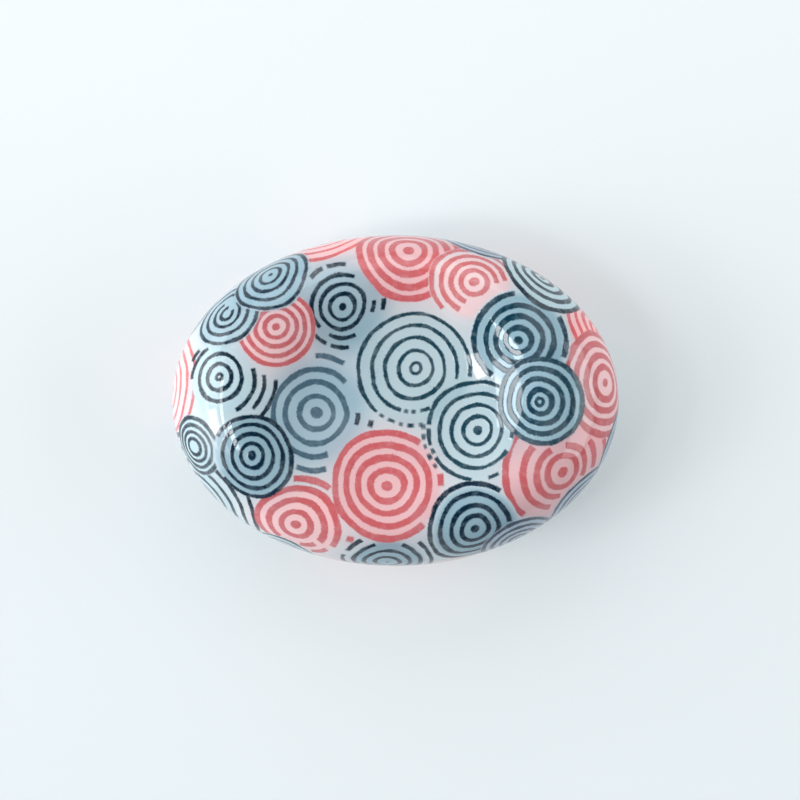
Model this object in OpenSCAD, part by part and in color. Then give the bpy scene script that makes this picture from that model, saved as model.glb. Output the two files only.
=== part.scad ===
// Chopstick rest: a dished oval pebble of porcelain, printed all over and covered in clear glaze.
// The origin is the middle of the resting plane. X runs along the pebble, Y across it, and Z is up.
// The body is cast solid and stands on a bare ground foot. The print lies on the body, the outer glaze
// covers the print, and a second pool of glaze lies on the floor of the recess inside the foot.

/* [Pebble] */
// Overall length, along X
body_length = 44; // [40:0.5:56]
// Overall width, along Y
body_width = 32.6; // [30:0.2:42]
// Height of the widest line above the table
belly_height = 6.6; // [6:0.1:9]
// Rise of the undented dome above the widest line
dome_rise = 10.5; // [9.5:0.25:14]
// How full the dome's shoulders are: 2 is an ellipse, and more is squarer
dome_fullness = 2.5; // [2.2:0.1:3]
// How full the pebble is below its widest line
under_fullness = 2.2; // [2:0.1:3]

/* [Dip] */
// Length of the dip in the top, along X
dip_length = 25.5; // [22:0.5:28]
// Width of the dip, along Y
dip_width = 22; // [18:0.5:24]
// Depth that the dip takes out of the middle of the dome
dip_depth = 5; // [3:0.25:6]
// How steeply the dip's sides rise to the rim
dip_steepness = 4; // [3:0.25:5]

/* [Foot] */
// Length of the foot ring, along X
foot_length = 27; // [22:0.5:32]
// Width of the foot ring, along Y
foot_width = 18.4; // [16:0.2:22]
// Height of the foot ring below the pebble's underside
foot_height = 0.9; // [0.6:0.1:1.5]
// Width of the ring of bare porcelain that touches the table
foot_land = 1.8; // [1.4:0.1:2.4]
// Ground edge round both sides of the bare ring
foot_edge = 0.25; // [0.1:0.05:0.4]
// Depth of the recess inside the foot
recess_depth = 1.5; // [1:0.1:2]
// How far the recess's side leans in on its way up
recess_lean = 0.7; // [0.3:0.1:1]

/* [Layers] */
// Thickness of the clear glaze
glaze_thickness = 0.25; // [0.15:0.05:0.4]
// Thickness of the printed ink film under the glaze
ink_thickness = 0.05; // [0.03:0.01:0.1]

/* [Hidden] */

// Facets round the pebble, up its dome and down its underside
turn_steps = 72;
dome_steps = 18;
under_steps = 8;
// The print stops this many facets short of the foot, where the underside is plain glazed white
plain_steps = 2;
quarter_turn = 90;
full_turn = 360;

// Depth of the body's printed surface below the glazed one
ink_base = glaze_thickness + ink_thickness;

// Depth of the dip at a place on the plan
function dip_at(x, y) =
    dip_depth * exp(-pow(norm([2 * x / dip_length, 2 * y / dip_width]), dip_steepness));

// Shares of the way across and along a quarter of a superellipse, at an angle
function across_share(angle, fullness) = pow(cos(angle), 2 / fullness);
function along_share(angle, fullness) = pow(sin(angle), 2 / fullness);

// A ring of points round a level oval with these half sizes
function oval_ring(half_length, half_width, z) =
    [for (step = [0 : turn_steps - 1])
        let (turn = full_turn * step / turn_steps)
        [half_length * cos(turn), half_width * sin(turn), z]];

// A ring round the dome, climb degrees up from the widest line, inset into the pebble
function dome_ring(climb, inset) =
    let (out = across_share(climb, dome_fullness),
         z = belly_height + (dome_rise - inset) * along_share(climb, dome_fullness))
    [for (p = oval_ring((body_length / 2 - inset) * out, (body_width / 2 - inset) * out, z))
        [p.x, p.y, p.z - dip_at(p.x, p.y)]];

// A ring round the underside, fall degrees down from the widest line towards the foot
function under_ring(fall, inset) =
    let (out = across_share(fall, under_fullness),
         down = along_share(fall, under_fullness))
    oval_ring(
        foot_length / 2 + (body_length / 2 - inset - foot_length / 2) * out,
        foot_width / 2 + (body_width / 2 - inset - foot_width / 2) * out,
        belly_height - (belly_height - foot_height - inset) * down);

// A ring round the foot or the recess, a distance in from the foot's outside
function foot_ring(inward, z) =
    oval_ring(foot_length / 2 - inward, foot_width / 2 - inward, z);

function top_point(inset) = [0, 0, belly_height + dome_rise - inset - dip_at(0, 0)];

// The dome's rings from under the top point down to the widest line
function dome_rings(inset) =
    [for (step = [dome_steps - 1 : -1 : 0])
        dome_ring(quarter_turn * step / dome_steps, inset)];

// The underside's rings from one step of its way down to another
function under_rings(inset, first, last) =
    [for (step = [first : last])
        under_ring(quarter_turn * step / under_steps, inset)];

// The pebble's rings from the top down to where the print stops, and to where the glaze stops
function printed_rings(inset) =
    concat(dome_rings(inset), under_rings(inset, 1, under_steps - plain_steps));
function glazed_rings(inset) =
    concat(dome_rings(inset), under_rings(inset, 1, under_steps));

function reversed(list) = [for (i = [len(list) - 1 : -1 : 0]) list[i]];

// A closed solid from a chain of rings with equal counts, closed by a tip at each end
module ringed_solid(first_tip, rings, last_tip) {
    count = len(rings[0]);
    points = concat([first_tip], [for (ring = rings) each ring], [last_tip]);
    last = len(points) - 1;
    function at(row, step) = 1 + row * count + step % count;
    faces = concat(
        [for (step = [0 : count - 1]) [0, at(0, step + 1), at(0, step)]],
        [for (row = [0 : len(rings) - 2], step = [0 : count - 1]) each [
            [at(row, step), at(row, step + 1), at(row + 1, step + 1)],
            [at(row, step), at(row + 1, step + 1), at(row + 1, step)]]],
        [for (step = [0 : count - 1])
            [last, at(len(rings) - 1, step), at(len(rings) - 1, step + 1)]]);
    polyhedron(points = points, faces = faces, convexity = 6);
}

// A skin over the pebble between two depths, closed round its lower edge
module skin(outer_rings, outer_inset, inner_rings, inner_inset) {
    ringed_solid(
        top_point(outer_inset),
        concat(outer_rings, reversed(inner_rings)),
        top_point(inner_inset));
}

// The cast body: the pebble, its foot ring and the recess inside it
module porcelain_body() {
    last_printed = under_steps - plain_steps;
    color("white")
        ringed_solid(
            top_point(ink_base),
            concat(
                printed_rings(ink_base),
                under_rings(glaze_thickness, last_printed, under_steps),
                [
                    foot_ring(0, foot_edge),
                    foot_ring(foot_edge, 0),
                    foot_ring(foot_land - foot_edge, 0),
                    foot_ring(foot_land, foot_edge),
                    foot_ring(foot_land + recess_lean, recess_depth),
                ]),
            [0, 0, recess_depth]);
}

// The ink film: ring motifs in indigo and coral, laid from printed sheets before glazing
module transfer_print() {
    color("steelblue")
        skin(printed_rings(glaze_thickness), glaze_thickness, printed_rings(ink_base), ink_base);
}

// The clear glaze over the print, down to the top of the foot
module outer_glaze() {
    color("lightcyan", 0.5)
        skin(glazed_rings(0), 0, glazed_rings(glaze_thickness), glaze_thickness);
}

// The pool of glaze on the floor of the recess, whose edge follows the recess's leaning side
module base_glaze() {
    lean_in_pool = recess_lean * glaze_thickness / (recess_depth - foot_edge);
    full_inward = foot_land + recess_lean;
    color("azure")
        ringed_solid(
            [0, 0, recess_depth],
            [
                foot_ring(full_inward, recess_depth),
                foot_ring(full_inward - lean_in_pool, recess_depth - glaze_thickness),
            ],
            [0, 0, recess_depth - glaze_thickness]);
}

porcelain_body();
transfer_print();
outer_glaze();
base_glaze();
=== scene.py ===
"""A chopstick rest: an oval pebble of porcelain with a shallow dip in its top, printed all over with
hand-drawn ring motifs in indigo and coral, under clear glaze. Sizes are in mm, and meshes in metres."""
import functools
import math
import bpy
import numpy as np
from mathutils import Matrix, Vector


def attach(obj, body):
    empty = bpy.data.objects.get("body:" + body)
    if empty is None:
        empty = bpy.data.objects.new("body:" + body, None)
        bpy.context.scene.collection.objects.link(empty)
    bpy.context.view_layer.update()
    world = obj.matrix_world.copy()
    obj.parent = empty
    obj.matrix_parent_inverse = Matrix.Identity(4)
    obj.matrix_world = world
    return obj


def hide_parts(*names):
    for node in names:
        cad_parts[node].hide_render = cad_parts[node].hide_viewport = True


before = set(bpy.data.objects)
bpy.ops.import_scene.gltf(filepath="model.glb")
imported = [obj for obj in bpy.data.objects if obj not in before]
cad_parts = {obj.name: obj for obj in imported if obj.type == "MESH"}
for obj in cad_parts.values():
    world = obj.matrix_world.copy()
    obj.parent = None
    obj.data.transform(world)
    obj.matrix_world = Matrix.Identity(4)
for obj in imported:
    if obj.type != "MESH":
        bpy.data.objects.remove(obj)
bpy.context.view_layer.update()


# Porcelain body
# The pebble itself, cast solid in white porcelain. It is hidden under print and glaze except for
# the foot ring, which is ground bare so that the rest can stand in the kiln and on the table.
MM = 0.001
# The pebble, whose belly is its widest line: a dome above it and an underside below
body_length = 44.0
body_width = 32.6
belly_height = 6.6
dome_rise = 10.5
dome_fullness = 2.5
under_fullness = 2.2
# The dip in the top
dip_length = 25.5
dip_width = 22.0
dip_depth = 5.0
dip_steepness = 4
# The foot ring, and the recess inside it
foot_length = 27.0
foot_width = 18.4
foot_height = 0.9
foot_land = 1.8
foot_edge = 0.25
recess_depth = 1.5
recess_lean = 0.7
# The layers, and how many degrees down the underside the print stops
glaze_thickness = 0.25
ink_thickness = 0.05
ink_base = glaze_thickness + ink_thickness
print_stops_at = 67.5
# Points round the pebble
turn_steps = 240


def oval_rows(half_length, half_width, height):
    """Level rings, one for each entry of the three lists: an ellipse with these half sizes at this
    height, as points running anticlockwise from +X when seen from above."""
    turn = np.linspace(0, 2 * np.pi, turn_steps, endpoint=False)
    a, b, z = (np.asarray(v, float)[:, None] for v in (half_length, half_width, height))
    return np.stack([a * np.cos(turn), b * np.sin(turn), z + 0 * turn], axis=-1)


def dip_at(x, y):
    """Depth of the dip: its full depth times e to the minus of the oval distance from the middle,
    raised to the steepness, so the floor is nearly flat and the sides roll up to the rim."""
    reach = np.hypot(2 * x / dip_length, 2 * y / dip_width)
    return dip_depth * np.exp(-reach ** dip_steepness)


def dome_rows(climbs, inset=0.0):
    """Rings over the dome, climbs degrees up from the belly: cosine and sine of the climb, each to
    the power of two over the fullness, are the shares of the way out and up. The dip is taken off."""
    climb = np.radians(climbs)
    out, up = np.cos(climb) ** (2 / dome_fullness), np.sin(climb) ** (2 / dome_fullness)
    rows = oval_rows((body_length / 2 - inset) * out, (body_width / 2 - inset) * out,
                     belly_height + (dome_rise - inset) * up)
    rows[..., 2] -= dip_at(rows[..., 0], rows[..., 1])
    return rows


def under_rows(falls, inset=0.0):
    """Rings down the underside, falls degrees down from the belly towards the top of the foot, with
    the same powers of cosine and sine as the dome and the fullness of the underside."""
    fall = np.radians(falls)
    out, down = np.cos(fall) ** (2 / under_fullness), np.sin(fall) ** (2 / under_fullness)
    return oval_rows(foot_length / 2 + (body_length / 2 - inset - foot_length / 2) * out,
                     foot_width / 2 + (body_width / 2 - inset - foot_width / 2) * out,
                     belly_height - (belly_height - foot_height - inset) * down)


def foot_rows(inward, height):
    """Rings of the foot and recess, each a distance in from the foot's outside."""
    inward = np.asarray(inward)
    return oval_rows(foot_length / 2 - inward, foot_width / 2 - inward, height)


def crown(inset=0.0):
    """The point in the middle of the top, at the bottom of the dip."""
    return (0.0, 0.0, belly_height + dome_rise - inset - dip_at(0.0, 0.0))


def closed_mesh(name, first_tip, rows, last_tip, crease=40):
    """A closed skin through rows of equal rings, with quads between them and a fan of triangles to
    a tip at each end. It is smooth shaded, with edges kept sharp above the crease angle."""
    count, turns = rows.shape[:2]
    points = np.concatenate([[first_tip], rows.reshape(-1, 3), [last_tip]]) * MM
    here = 1 + np.arange(count)[:, None] * turns + np.arange(turns)
    beside = np.roll(here, -1, axis=1)
    quads = np.stack([here[:-1], here[1:], beside[1:], beside[:-1]], axis=-1).reshape(-1, 4)
    first = np.stack([np.zeros(turns, int), here[0], beside[0]], axis=-1)
    last = np.stack([here[-1], np.full(turns, len(points) - 1), beside[-1]], axis=-1)
    mesh = bpy.data.meshes.new(name)
    mesh.from_pydata(points.tolist(), [], first.tolist() + quads.tolist() + last.tolist())
    mesh.polygons.foreach_set("use_smooth", [True] * len(mesh.polygons))
    mesh.set_sharp_from_angle(angle=math.radians(crease))
    return mesh


def show(mesh, *materials):
    """Puts a mesh into the scene as an object of the same name. Where it has two materials, the
    second is for the faces below the belly."""
    for material in materials:
        mesh.materials.append(material)
    if len(materials) > 1:
        heights = [face.center.z for face in mesh.polygons]
        mesh.polygons.foreach_set("material_index", [int(z < belly_height * MM) for z in heights])
    made = bpy.data.objects.new(mesh.name, mesh)
    bpy.context.collection.objects.link(made)
    return made


class Shade:
    """One output of a shader node. Arithmetic on it adds Math nodes to the same material."""

    def __init__(self, tree, socket):
        self.tree, self.socket = tree, socket

    def node(self, kind, settings=(), values=(), output=0):
        """Any other node: its settings first, then the value or link of each socket."""
        made = self.tree.nodes.new(kind)
        for name, setting in dict(settings).items():
            setattr(made, name, setting)
        for name, value in dict(values).items():
            if isinstance(value, Shade):
                self.tree.links.new(value.socket, made.inputs[name])
            else:
                made.inputs[name].default_value = value
        return Shade(self.tree, made.outputs[output])

    def beside(self, output):
        """Another output of the node that this one comes from."""
        return Shade(self.tree, self.socket.node.outputs[output])

    def math(self, operation, *values):
        return self.node("ShaderNodeMath", {"operation": operation}, enumerate(values))

    def __add__(self, other):
        return self.math("ADD", self, other)

    def __sub__(self, other):
        return self.math("SUBTRACT", self, other)

    def __rsub__(self, other):
        return self.math("SUBTRACT", other, self)

    def __mul__(self, other):
        return self.math("MULTIPLY", self, other)

    def __abs__(self):
        return self.math("ABSOLUTE", self)

    __radd__, __rmul__ = __add__, __mul__

    def vector(self, operation, *others, output="Vector"):
        """Vector Math of this and other vectors."""
        values = enumerate([self, *others])
        return self.node("ShaderNodeVectorMath", {"operation": operation}, values, output)

    def ramp(self, start, end):
        """Rises smoothly from 0 where this is at start to 1 where it is at end. The node's own clamp
        stays off: the smooth step needs none, and clamps would make the print too big to render."""
        return self.node("ShaderNodeMapRange", {"interpolation_type": "SMOOTHSTEP", "clamp": False},
                         {"Value": self, "From Min": start, "From Max": end})

    def mix(self, under, over, blend="MIX"):
        """The colour under where this is 0, and the colour over where it is 1. With the blend set
        to multiply, over tints under instead."""
        settings = {"data_type": "RGBA", "blend_type": blend}
        return self.node("ShaderNodeMix", settings, {0: self, 6: under, 7: over}, 2)

    def noise(self, scale, detail=2.0, output=0):
        """Noise at this place, with scale features to the millimetre; output 1 is its colour."""
        values = {"Vector": self, "Scale": scale, "Detail": detail}
        return self.node("ShaderNodeTexNoise", {}, values, output)


def paint(red, green, blue):
    """A colour as a screen shows it, each part from 0 to 255, as the shader's linear values."""
    shares = [v / 255 for v in (red, green, blue)]
    linear = [s / 12.92 if s <= 0.04045 else ((s + 0.055) / 1.055) ** 2.4 for s in shares]
    return (*linear, 1.0)


def new_material(name, **constants):
    """A Principled material with its constants set on the shader's own sockets. Gives back the
    material, its shader node, and the place on the object in millimetres."""
    material = bpy.data.materials.new(name)
    material.use_nodes = True
    tree = material.node_tree
    shader = tree.nodes["Principled BSDF"]
    for socket, value in constants.items():
        shader.inputs[socket.replace("_", " ")].default_value = value
    coordinates = Shade(tree, tree.nodes.new("ShaderNodeTexCoord").outputs["Object"])
    place = coordinates.vector("MULTIPLY", (1 / MM,) * 3)
    return material, shader, place


def feed(shader, socket, shade):
    """Links a varying value or colour into one socket of a shader."""
    shade.tree.links.new(shade.socket, shader.inputs[socket])


def bump(height, microns):
    """A bumped normal, from a height of 0 to 1 that stands for this many thousandths of a mm."""
    values = {"Strength": 1.0, "Distance": microns * MM * MM, "Height": height}
    return height.node("ShaderNodeBump", {}, values)


biscuit_white = paint(226, 222, 214)
biscuit_grey = paint(196, 190, 181)
rounding = np.radians([0, 22.5, 45, 67.5, 90])
foot_inward = np.concatenate([foot_edge * (1 - np.cos(rounding)),
                              foot_land - foot_edge * (1 - np.sin(rounding)),
                              [foot_land + recess_lean / 2, foot_land + recess_lean]])
foot_z = np.concatenate([foot_edge * (1 - np.sin(rounding)),
                         foot_edge * (1 - np.cos(rounding)),
                         [(foot_edge + recess_depth) / 2, recess_depth]])
body_rows = np.concatenate([
    dome_rows(np.linspace(88, 0, 45), ink_base),
    under_rows(np.linspace(4, print_stops_at, 16), ink_base),
    under_rows(np.linspace(print_stops_at, 90, 8), glaze_thickness),
    foot_rows(foot_inward, foot_z)])
body_mesh = closed_mesh("porcelain_pebble", crown(ink_base), body_rows, (0.0, 0.0, recess_depth))
biscuit, biscuit_shader, place = new_material("bare_biscuit_porcelain", Roughness=0.72, IOR=1.5)
grain = place.noise(9.0, 4.0)
handling = place.noise(0.5, 3.0)
ground_face = place.vector("DOT_PRODUCT", (0, 0, 1), output="Value").ramp(0.12, 0.0)
soiling = ground_face * handling.ramp(0.35, 0.75) * 0.7 + grain * 0.15
feed(biscuit_shader, "Base Color", soiling.mix(biscuit_white, biscuit_grey))
feed(biscuit_shader, "Roughness", 0.62 + 0.25 * grain)
feed(biscuit_shader, "Normal", bump(grain, 12))
body = show(body_mesh, biscuit)
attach(body, "root")
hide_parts("porcelain_body")


# Transfer print
# The ink film: ring motifs, each a pale wash with hand-drawn rings round a dot, laid edge to edge
# and over each other from a printed sheet that is soaked and slid on to the fired body.
porcelain = paint(207, 215, 220)
# Each ink as the colours of its lines and of its wash
inks = {
    "indigo": (paint(0, 34, 52), paint(182, 205, 213)),
    "mist": (paint(24, 62, 77), paint(182, 201, 208)),
    "sea": (paint(0, 34, 52), paint(158, 183, 194)),
    "teal": (paint(0, 34, 54), paint(143, 172, 186)),
    "steel": (paint(74, 102, 118), paint(166, 190, 202)),
    "deep": (paint(6, 54, 72), paint(146, 177, 191)),
    "slate": (paint(36, 54, 78), paint(158, 174, 192)),
    "coral": (paint(216, 95, 98), paint(245, 190, 192)),
    "rose": (paint(200, 96, 101), paint(230, 182, 185)),
    "berry": (paint(200, 96, 101), paint(240, 194, 196)),
    "blush": (paint(210, 110, 113), paint(243, 205, 206)),
}
# Motifs from the lowest laid to the last: ink, place, line width, radius of the dot (a hollow one is
# below 0), radii of the white disc and of the wash (below 0 for none), whole rings as the first
# radius, their spacing and count, and then broken rings as a radius and the arcs drawn, from and to
# degrees as seen from above. The place is along and across from the middle on the top, and turn and
# height on the side.
side_first = [
    ("indigo", 150, 5.6, 0.34, 0.3, 3.4, 3.6, (1.2, 1.05, 3)),
    ("slate", 129, 5.4, 0.34, 0.3, 3.1, 3.3, (0.95, 1.0, 3)),
    ("indigo", 87, 4.9, 0.34, 0.3, 3.2, 3.4, (1.0, 1.05, 3)),
    ("rose", 42, 4.4, 0.44, 0.35, 3.0, 3.2, (1.1, 0.95, 3)),
    ("coral", -75, 5.0, 0.46, 0.35, 3.6, 3.8, (1.2, 1.15, 3)),
    ("coral", -106, 4.7, 0.46, 0.35, 3.6, 3.8, (1.3, 1.1, 3)),
    ("coral", 109, 7.5, 0.42, 0.4, 4.9, 5.1, (1.1, 1.26, 4)),
    ("blush", 176, 8.1, 0.34, 0.4, 5.2, 4.8, (1.7, 1.13, 4)),
    ("indigo", -147, 8.0, 0.44, 0.3, 6.4, 4.0, (1.0, 1.35, 5)),
    ("coral", 25, 9.0, 0.44, 0.3, 4.4, 4.6, (1.1, 1.1, 4)),
]
top_motifs = [
    ("indigo", -17.2, 2.15, 0.39, -0.3, 2.9, 3.8, (1.25, 1.0, 2),
     (3.3, (111, 184)), (3.55, (-60, 15)), (3.95, (125, 149)), (4.5, (-40, 5)), (5.6, (-48, 0))),
    ("steel", -7.7, -1.1, 0.5, 0.6, 3.6, 5.0, (1.65, 1.35, 2),
     (4.2, (45, 286)), (5.5, (60, 92), (250, 280))),
    ("indigo", -7.7, -1.1, 0.46, 0.0, -1.0, -4.0, (1, 1, 0), (4.15, (-18, 0)), (5.5, (-15, -8))),
    ("sea", -5.1, 9.2, 0.38, 0.36, 3.1, 4.5, (1.25, 0.92, 2),
     (3.05, (70, 222), (244, 298), (-10, 12)),
     (4.0, (86, 112), (118, 138), (224, 246), (252, 280), (-5, 12))),
    ("mist", 1.85, 3.05, 0.33, -0.55, 5.1, 5.4, (1.75, 1.24, 2),
     (4.2, (-14, 252), (256, 262), (266, 272), (278, 292)),
     (5.4, (-8, 228), (232, 237), (242, 249), (254, 258), (263, 270), (275, 279))),
    ("rose", 1.35, 14.7, 0.63, 0.55, 4.9, 5.1, (1.65, 1.08, 4)),
    ("blush", 7.5, 11.6, 0.46, 0.46, 4.0, 3.5, (1.2, 1.0, 1),
     (2.1, (-5, 248)), (3.05, (0, 244)), (4.0, (5, 222))),
    ("berry", -11.6, 7.1, 0.4, 0.35, 3.6, 3.8, (1.1, 0.85, 4)),
    ("sea", -16.4, 8.5, 0.33, 0.0, 3.35, 3.6, (2.4, 0.95, 2), (0.7, (80, 400)), (1.5, (110, 415))),
    ("teal", -12.2, 12.15, 0.32, 0.24, 3.85, 4.1, (1.12, 0.91, 4)),
    ("berry", -9.6, -12.2, 0.6, 0.5, 3.8, 4.0, (1.5, 1.2, 1),
     (2.8, (-35, 215), (-80, -45)), (4.0, (-30, 215), (-60, -38)),
     (4.95, (50, 93)), (5.2, (-17, -10))),
    ("teal", -0.8, -15.75, 0.38, 0.25, 3.3, 3.6, (1.3, 1.05, 2),
     (3.4, (125, 411)), (4.45, (139, 164), (170, 393))),
    ("rose", -0.73, -8.2, 0.6, 0.56, 5.0, 5.2, (1.6, 1.22, 3), (5.2, (54, 312), (-2, 12))),
    ("indigo", -19.45, -4.45, 0.37, 0.0, 2.9, 3.1, (0.87, 0.68, 4)),
    ("teal", -13.82, -5.45, 0.38, -0.33, 3.8, 3.95, (1.2, 0.95, 3), (3.95, (215, 510))),
    ("rose", 16.15, -6.9, 0.6, 0.55, 5.4, 5.6, (1.68, 1.0, 1),
     (2.75, (-8, 88), (120, 265)), (4.0, (8, 50), (140, 252)), (5.6, (13, 37), (142, 230))),
    ("berry", 20.5, 1.7, 0.62, 0.42, 5.1, 5.2, (1.6, 1.17, 4)),
    ("mist", 7.95, -3.0, 0.36, 0.43, 3.6, 4.7, (1.42, 1.1, 2),
     (3.65, (55, 325), (-15, -3)),
     (4.75, (64, 172), (176, 196), (200, 207), (212, 263), (283, 296)),
     (5.3, (172, 177), (182, 188), (193, 198), (204, 211), (217, 222))),
    ("teal", 7.8, -12.5, 0.44, 0.42, 4.1, 4.1, (1.4, 1.0, 2), (3.5, (11, 330)), (4.5, (57, 300))),
]
side_last = [
    ("slate", 67.5, 7.1, 0.4, 0.3, 3.9, 4.1, (1.05, 0.95, 4)),
    ("indigo", -119, 7.9, 0.36, 0.2, 2.7, 2.9, (0.8, 0.95, 3)),
    ("slate", -35, 7.6, 0.36, 0.3, 3.8, 4.0, (1.0, 0.93, 4)),
    ("slate", -57, 9.0, 0.4, 0.3, 3.6, 3.8, (0.9, 0.9, 4)),
    ("slate", -15, 6.8, 0.34, 0.3, 3.4, 3.6, (1.3, 1.1, 3)),
]
top_last = [
    ("deep", 11.95, 5.95, 0.52, 0.45, 4.75, 4.5, (1.3, 1.05, 3), (4.6, (97, 234), (-22, 31))),
    ("indigo", 14.5, 11.9, 0.46, 0.25, 4.2, 4.4, (1.07, 1.1, 4)),
    ("deep", 14.05, 0.0, 0.48, -0.35, 3.9, 4.15, (1.13, 0.97, 4)),
]


def on_top(x, y):
    """The point of the glazed dome above a place on the plan: the superellipse of the dome's
    section, turned round the middle in proportion to the oval, less the dip."""
    reach = min(math.hypot(2 * x / body_length, 2 * y / body_width), 1)
    up = (1 - reach ** dome_fullness) ** (1 / dome_fullness)
    return x, y, belly_height + dome_rise * up - float(dip_at(x, y))


def on_side(turn, height):
    """The point of the glazed side at a turn in degrees and a height, above or below the belly."""
    if height > belly_height:
        up = (height - belly_height) / dome_rise
        out = (1 - up ** dome_fullness) ** (1 / dome_fullness)
        half_length, half_width = body_length / 2 * out, body_width / 2 * out
    else:
        down = (belly_height - height) / (belly_height - foot_height)
        out = (1 - down ** under_fullness) ** (1 / under_fullness)
        half_length = foot_length / 2 + (body_length - foot_length) / 2 * out
        half_width = foot_width / 2 + (body_width - foot_width) / 2 * out
    turn = math.radians(turn)
    return half_length * math.cos(turn), half_width * math.sin(turn), height


def ring_motifs():
    """All motifs from the lowest laid to the last, each with its centre in mm. A row of whole ones
    fills the belt below the belly, where the photo shows nothing. Sines of the step vary their turns
    by a few degrees and their sizes by a few tenths of a mm."""
    motifs = []
    belt_count, belt_height, belt_reach = 17, 2.6, 3.3
    belt_inks = ["indigo", "coral", "steel", "indigo", "coral"]
    belt_dot, belt_rings = 0.33, 3
    for step in range(belt_count):
        turn = 360 * step / belt_count + 5 * math.sin(7 * step)
        outer = belt_reach + 0.3 * math.sin(5 * step)
        ink = belt_inks[3 * step % len(belt_inks)]
        width = 0.44 if ink == "coral" else 0.3
        spacing = outer / (belt_rings + 0.4)
        rings = (outer - (belt_rings - 1) * spacing, spacing, belt_rings)
        centre = on_side(turn, belt_height)
        motifs.append((ink, centre, width, belt_dot, outer, outer + 0.2, rings))
    for place_motif, group in ((on_side, side_first), (on_top, top_motifs),
                               (on_side, side_last), (on_top, top_last)):
        for ink, first, second, *drawing in group:
            motifs.append((ink, place_motif(first, second), *drawing))
    return motifs


def node_group(name, takes, gives, draw):
    """A group of nodes with named sockets in and out. The function draw is given a Shade for each
    socket that the group takes, and returns a Shade for each that it gives."""
    tree = bpy.data.node_groups.new(name, "ShaderNodeTree")
    for way, sockets in (("INPUT", takes), ("OUTPUT", gives)):
        for label, kind in sockets.items():
            tree.interface.new_socket(name=label, in_out=way, socket_type="NodeSocket" + kind)
    entry = tree.nodes.new("NodeGroupInput")
    made = draw(*[Shade(tree, entry.outputs[label]) for label in takes])
    leaving = tree.nodes.new("NodeGroupOutput")
    for label, shade in zip(gives, made):
        tree.links.new(shade.socket, leaving.inputs[label])
    return tree


def farthest(motif):
    """The radius of a motif's outermost ring, whole or broken."""
    (first, spacing, count), *broken = motif[6:]
    return max([first + spacing * (count - 1)] + [radius for radius, *arcs in broken])


def along_arcs(direction, arcs):
    """1 along some arcs and 0 past their ends, from the direction of a place as seen from above: the
    cosine of its angle from an arc's middle is more than the cosine of half the arc's angle."""
    kept = None
    for start, end in arcs:
        middle, half = math.radians(start + end) / 2, math.radians(end - start) / 2
        edge, soft = math.cos(half), 0.025 * math.sin(half) + 0.0005
        toward = (math.cos(middle), math.sin(middle), 0)
        arc = direction.vector("DOT_PRODUCT", toward, output="Value")
        arc = arc.ramp(edge - soft, edge + soft)
        kept = kept.math("MAXIMUM", kept, arc) if kept else arc
    return kept


def one_motif(motif, drawn, swell, loaded, colour, relief):
    """Lays one motif over the print so far: a disc of porcelain white, a tint of wash that fades
    round its edge and spreads faintly past it, and the dot and rings, each a band of the distance
    from the centre. Whole rings come from a zigzag of the distance, which is 0 at each ring and
    highest midway between two."""
    ink, centre, width, dot, disc, wash, (first, spacing, count), *broken = motif
    line_colour, wash_colour = inks[ink]
    tint = tuple(tone / white for tone, white in zip(wash_colour, porcelain))
    blur, hollow_line, spread = 0.08, 0.15, 3.0

    def band(distance, half_width):
        return (distance - swell).ramp(half_width + blur, half_width - blur)

    offset = drawn.vector("SUBTRACT", centre)
    far = offset.vector("LENGTH", output="Value")
    within = far.math("MAXIMUM", far, first - spacing / 2)
    within = far.math("MINIMUM", within, first + spacing * (count - 0.5))
    lines = band(within.math("PINGPONG", within - first, spacing / 2), width / 2)
    if dot > 0:
        lines = lines.math("MAXIMUM", lines, band(far, dot))
    elif dot < 0:
        lines = lines.math("MAXIMUM", lines, band(abs(far + dot), hollow_line))
    if broken:
        direction = offset.vector("MULTIPLY", (1, 1, 0)).vector("NORMALIZE")
    for radius, *arcs in broken:
        line = band(abs(far - radius), width / 2) * along_arcs(direction, arcs)
        lines = lines.math("MAXIMUM", lines, line)
    cover = far.ramp(disc + 0.4, disc + 0.15)
    colour = cover.mix(colour, porcelain)
    soft = max(0.45, wash - disc)
    strength = far.ramp(wash + soft, wash - soft) * 0.7 + far.ramp(wash + spread, wash - soft) * 0.3
    colour = strength.mix(colour, tint, "MULTIPLY")
    colour = (lines * loaded).mix(colour, line_colour)
    return colour, lines.math("MAXIMUM", lines, relief - cover)


motifs = ring_motifs()
printed = {"colour": "Color", "relief": "Float"}
laid = {"drawn": "Vector", "swell": "Float", "loaded": "Float", **printed}
motif_groups = [node_group(f"motif_{number}", laid, printed, functools.partial(one_motif, motif))
                for number, motif in enumerate(motifs)]


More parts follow.
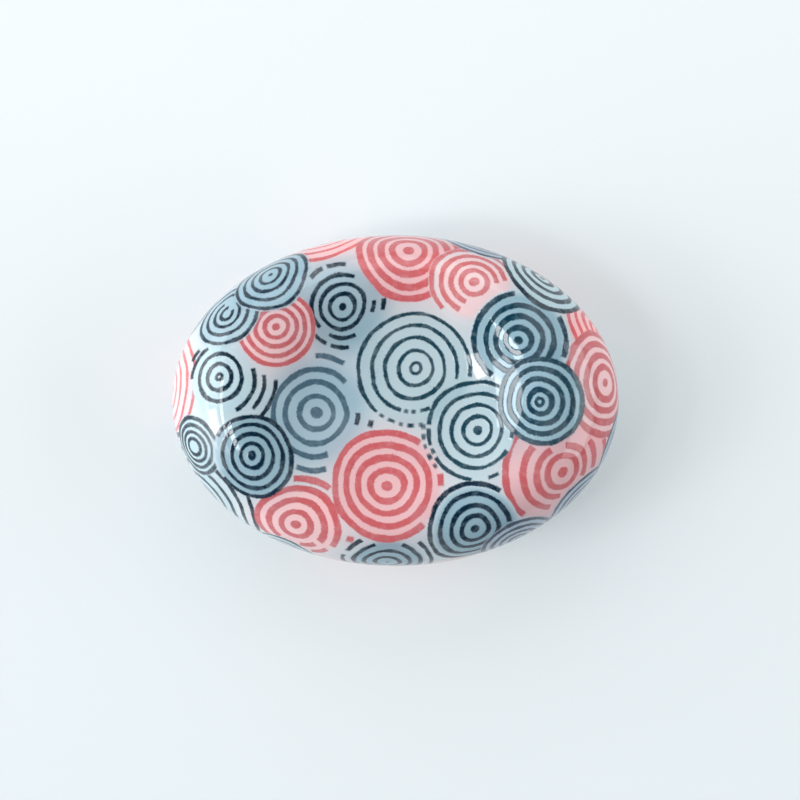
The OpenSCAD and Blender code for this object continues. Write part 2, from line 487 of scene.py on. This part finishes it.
def whole_print(part, place):
    """The motifs that reach one part of the pebble, at a place in mm. The place is nudged by two
    noises, so that no ring is quite round. Others make a line swell and its edges ragged, load the
    ink unevenly, and thin the whole print in patches. A painted shade, partly a thicker wash, darkens
    the left slope of the dip a little left of the middle. Below the print's edge there is only white."""
    sway, tremor = 0.7, 0.16
    drawn = place.noise(0.16, 0.0, 1).vector("MULTIPLY_ADD", (sway,) * 3, place)
    drawn = place.noise(0.6, 0.0, 1).vector("MULTIPLY_ADD", (tremor,) * 3, drawn)
    drawn = drawn.vector("SUBTRACT", ((sway + tremor) / 2,) * 3)
    swell = place.noise(0.7, 1.0) * 0.2 + place.noise(6.0, 2.0) * 0.2 - 0.175
    loaded = place.noise(1.6, 4.0).ramp(0.3, 0.54) * 0.14 + 0.86
    colour, relief = porcelain, 0.0
    for motif, group in zip(motifs, motif_groups):
        height, reach = motif[1][2], farthest(motif) + 0.5
        reaches = {"top": height + reach > belly_height, "belt": height - reach < belly_height}
        if reaches[part]:
            values = {"drawn": drawn, "swell": swell, "loaded": loaded,
                      "colour": colour, "relief": relief}
            colour = place.node("ShaderNodeGroup", {"node_tree": group}, values)
            relief = colour.beside("relief")
    # Painted shade, partly a thicker wash: the dip's left slope faces away from the window and is
    # tinted a little darker round this middle
    painted_shade_middle = (-6, 3.5, 12)
    wash_and_shade_tint = (0.87, 0.9, 0.92, 1)
    wash_and_painted_shade = place.vector("DISTANCE", painted_shade_middle, output="Value").ramp(7.5, 3.5)
    colour = wash_and_painted_shade.mix(colour, wash_and_shade_tint, "MULTIPLY")
    thinned = place.noise(0.25, 2.0).ramp(0.45, 0.75) * 0.1
    colour = thinned.mix(colour, porcelain)
    if part == "belt":
        edge = place.vector("DOT_PRODUCT", (0, 0, 1), output="Value").ramp(1.3, 1.36)
        colour, relief = edge.mix(porcelain, colour), relief * edge
    return colour, relief


parts = ("top", "belt")
print_groups = [node_group(f"print_on_{part}", {"place": "Vector"}, printed,
                           functools.partial(whole_print, part)) for part in parts]


def printed_materials(name, microns, **constants):
    """Two materials that show the print, for the part above the belly and the part below it. Each
    has only the motifs that reach it. The ink lines stand up by some thousandths of a mm."""
    made = []
    for part, group in zip(parts, print_groups):
        material, shader, place = new_material(f"{name}_{part}", **constants)
        colour = place.node("ShaderNodeGroup", {"node_tree": group}, {"place": place})
        feed(shader, "Base Color", colour)
        feed(shader, "Normal", bump(colour.beside("relief"), microns))
        made.append(material)
    return made


# A layer's hidden inner side takes fewer rings than its outside
inner_climbs = np.linspace(0, 88, 23)
printed_falls = np.linspace(0, print_stops_at, 25)[1:]
film_rows = np.concatenate([
    dome_rows(np.linspace(88, 0, 67), glaze_thickness),
    under_rows(printed_falls, glaze_thickness),
    under_rows(printed_falls[::-4], ink_base),
    dome_rows(inner_climbs, ink_base)])
film_mesh = closed_mesh("ring_print_film", crown(glaze_thickness), film_rows, crown(ink_base))
film = show(film_mesh, *printed_materials("transfer_ink", 8, Roughness=0.5, IOR=1.5))
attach(film, "root")
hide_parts("transfer_print")


# Outer glaze
# Clear glossy glaze fired over the print, from the middle of the dip down to the foot. It shows the
# print through it, so its material carries the print, and the ink lines stand very slightly proud.
glazed_falls = np.linspace(0, 90, 41)[1:]
glaze_rows = np.concatenate([
    dome_rows(np.linspace(89, 0, 101)),
    under_rows(glazed_falls),
    under_rows(glazed_falls[::-5], glaze_thickness),
    dome_rows(inner_climbs, glaze_thickness)])
glaze_mesh = closed_mesh("clear_glaze_coat", crown(), glaze_rows, crown(glaze_thickness))
glaze_coat = show(glaze_mesh, *printed_materials("clear_glaze", 12, Roughness=0.05, IOR=1.5))
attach(glaze_coat, "root")
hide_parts("outer_glaze")


# Base glaze
# The pool of glaze on the floor of the recess inside the foot. Plain white porcelain shows through
# it, a little clouded, and its face is not quite even.
pool_inward = foot_land + recess_lean
lean_in_pool = recess_lean * glaze_thickness / (recess_depth - foot_edge)
pool_shares = np.linspace(0.98, 0.02, 30)
pool_half_length = foot_length / 2 - pool_inward + lean_in_pool
pool_half_width = foot_width / 2 - pool_inward + lean_in_pool
pool_floor = recess_depth - glaze_thickness
pool_rows = np.concatenate([
    foot_rows([pool_inward], [recess_depth]),
    oval_rows(pool_half_length * pool_shares, pool_half_width * pool_shares,
              np.full(len(pool_shares), pool_floor))])
pool_mesh = closed_mesh("base_glaze_pool", (0.0, 0.0, recess_depth), pool_rows, (0.0, 0.0, pool_floor))
pool_glaze, pool_shader, place = new_material("glaze_over_plain_white", Roughness=0.06, IOR=1.5)
clouds = place.noise(0.35, 3.0).ramp(0.3, 0.7)
feed(pool_shader, "Base Color", clouds.mix(paint(206, 214, 217), paint(216, 220, 222)))
feed(pool_shader, "Normal", bump(place.noise(1.2, 2.0), 6))
pool = show(pool_mesh, pool_glaze)
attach(pool, "root")
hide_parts("base_glaze")


# Table top
# A smooth white board, matt, that takes the soft shadow. Its white is painted lighter towards the back,
# as light falling brighter there. To the camera and in reflections part of its white comes from a plain
# glow, which keeps the background pale and the shadow light.
board_half = 1500 * MM
board_glow = 0.36
black = (0, 0, 0, 1)
board_corners = [(-board_half, -board_half, 0), (board_half, -board_half, 0),
                 (board_half, board_half, 0), (-board_half, board_half, 0)]
board_mesh = bpy.data.meshes.new("white_board")
board_mesh.from_pydata(board_corners, [], [(0, 1, 2, 3)])
board_paint, board_shader, place = new_material("matt_white_board", Roughness=0.6, IOR=1.4,
                                                Emission_Strength=board_glow)
across = place.vector("DOT_PRODUCT", (0, 1, 0), output="Value")
# Painted light: the board's white grows lighter towards the back, where the room's light falls brighter
board_white_painted_lighter_behind = across.ramp(-60, 60).mix(paint(227, 234, 237), paint(237, 243, 246))
camera_ray = place.node("ShaderNodeLightPath", output="Is Camera Ray")
seen = camera_ray.math("MAXIMUM", camera_ray, camera_ray.beside("Is Glossy Ray"))
feed(board_shader, "Base Color", (seen * board_glow).mix(board_white_painted_lighter_behind, black))
feed(board_shader, "Emission Color", seen.mix(black, board_white_painted_lighter_behind))
board = show(board_mesh, board_paint)


# Light
# Bright window panes on the left, with pale curtains below them, and pale walls to the right and
# behind. The room round them is even, a little lighter behind than in front and dark overhead.
def panel(name, azimuth, elevation, distance, width, height, radiance, colour):
    """A soft rectangular light facing the pebble, its azimuth and elevation in degrees and its sizes
    in metres. The azimuth runs anticlockwise from +X. Its power is radiance times pi times area."""
    lamp = bpy.data.lights.new(name, "AREA")
    lamp.shape, lamp.size, lamp.size_y = "RECTANGLE", width, height
    lamp.energy = radiance * math.pi * width * height
    lamp.color = colour
    shown = bpy.data.objects.new(name, lamp)
    a, e = math.radians(azimuth), math.radians(elevation)
    way = Vector((math.cos(a) * math.cos(e), math.sin(a) * math.cos(e), math.sin(e)))
    shown.location = way * distance
    shown.rotation_euler = way.to_track_quat("Z", "Y").to_euler()
    shown.visible_camera = False
    bpy.context.collection.objects.link(shown)


daylight = (0.97, 0.99, 1.0)
cloth_light = (0.98, 0.99, 1.0)
wall_light = (0.98, 1.0, 1.0)
panel("left_pane", 192, 35, 1.0, 0.20, 0.24, 9.0, daylight)
panel("right_pane", 205.5, 60.5, 1.0, 0.15, 0.16, 13.0, daylight)
panel("top_light", 184, 51.2, 1.0, 0.44, 0.09, 9.5, daylight)
panel("curtain", 183, 35, 1.05, 0.85, 0.42, 2.6, cloth_light)
panel("low_curtain", 180, 15, 1.0, 1.4, 0.5, 2.8, cloth_light)
panel("right_wall", 0, 25, 1.1, 1.2, 0.6, 2.5, wall_light)
panel("pale_wall", 105, 35, 1.1, 1.3, 0.8, 1.27, wall_light)
room = bpy.data.worlds.new("even_room")
bpy.context.scene.world = room
room.use_nodes = True
sky = room.node_tree
front_grey = (0.29, 0.31, 0.32, 1)
back_grey = (0.54, 0.56, 0.57, 1)
ceiling_grey = (0.08, 0.09, 0.09, 1)
outward = Shade(sky, sky.nodes.new("ShaderNodeTexCoord").outputs["Generated"])
behind = outward.vector("DOT_PRODUCT", (0, 1, 0), output="Value").ramp(-0.8, 0.8)
overhead = outward.vector("DOT_PRODUCT", (0, 0, 1), output="Value").ramp(0.55, 1.0)
room_colour = overhead.mix(behind.mix(front_grey, back_grey), ceiling_grey)
feed(sky.nodes["Background"], "Color", room_colour)


# Camera
# Straight above the pebble, looking down, and a little to the right of its middle. It frames the
# pebble from 400 mm up with a long lens, as the photo does.
camera = bpy.data.cameras.new("overhead")
camera.lens, camera.sensor_width = 179.5, 36.0
viewpoint = bpy.data.objects.new("overhead", camera)
viewpoint.location = (0.444 * MM, 0.049 * MM, 400 * MM)
bpy.context.collection.objects.link(viewpoint)
bpy.context.scene.camera = viewpoint
bpy.context.scene.view_settings.view_transform = "Standard"
